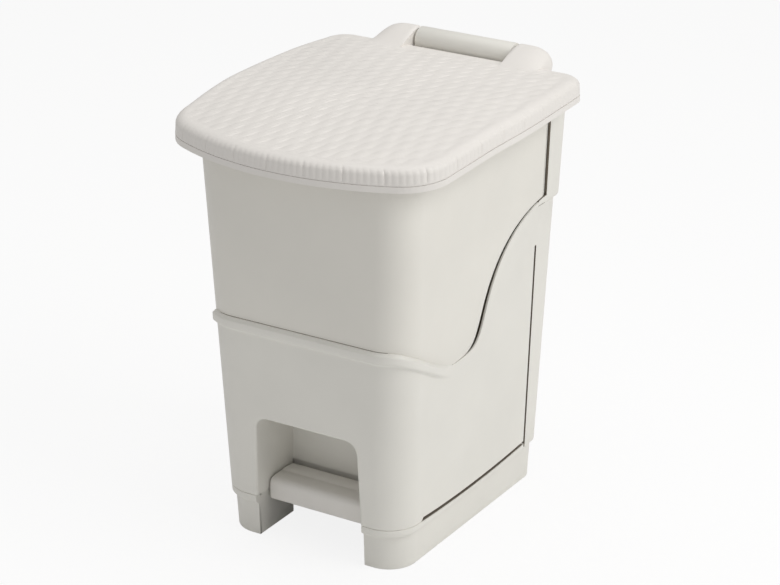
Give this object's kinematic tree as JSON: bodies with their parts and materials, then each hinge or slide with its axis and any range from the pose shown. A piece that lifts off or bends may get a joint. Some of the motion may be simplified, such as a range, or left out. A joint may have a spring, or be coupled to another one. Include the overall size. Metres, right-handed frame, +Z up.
{
  "type": "nappy bin",
  "caption": "Tapered plastic pedal bin with a lift-out bucket, a basket-weave lid on a rear hinge, and a pedal and lift rod that open it.",
  "frame": {"origin": "on the floor, under the middle of the whole object's width and depth", "axes": "+Z up, the pedal faces -Y, +X is on the right for someone who stands in front of the pedal, and the hinge line runs along X at the back"},
  "size_m": [0.312, 0.372, 0.456],
  "materials": {
    "casing_plastic": "satin moulded polypropylene, warm ivory",
    "bucket_plastic": "satin moulded polypropylene, warm ivory",
    "lid_plastic": "satin moulded polypropylene with a moulded basket weave",
    "pedal_plastic": "satin moulded polypropylene",
    "grey_plastic": "natural moulded plastic",
    "steel": "bright zinc-plated steel"
  },
  "bodies": {
    "casing": {"base_frame": "casing_plastic", "front_shell": "casing_plastic", "rear_column": "casing_plastic", "column_cover": "casing_plastic", "bucket": "bucket_plastic", "hinge_block": "casing_plastic", "hinge_pin_left": "steel", "hinge_pin_right": "steel", "pivot_pin": "steel", "pivot_cap_left": "grey_plastic", "pivot_cap_right": "grey_plastic", "rod_guide_lower": "grey_plastic", "rod_guide_upper": "grey_plastic", "frame_screws": "steel"},
    "lid": {"lid_cover": "lid_plastic", "lid_tray": "lid_plastic", "lid_screws": "steel"},
    "pedal": {"pedal_tread": "pedal_plastic", "pedal_lever": "grey_plastic", "pedal_screws": "steel"},
    "rod": {"lift_rod": "steel", "rod_foot": "grey_plastic", "rod_head": "grey_plastic"}
  },
  "joints": [
    {"name": "lid_hinge", "type": "hinge", "parent": "casing", "child": "lid", "pos_m": [0, 0.173, 0.443], "axis": [-1, 0, 0], "range_deg": [0, 80]},
    {"name": "rod_slide", "type": "slide", "parent": "casing", "child": "rod", "axis": [0, 0, 1], "range_m": [0, 0.0333]},
    {"name": "pedal_hinge", "type": "hinge", "parent": "casing", "child": "pedal", "pos_m": [0, -0.002, 0.024], "axis": [1, 0, 0], "range_deg": [0, 14]}
  ],
  "couplings": [
    {"joint": "rod_slide", "follows": "lid_hinge", "m_per_rad": 0.02384},
    {"joint": "pedal_hinge", "follows": "lid_hinge", "ratio": 0.175}
  ]
}
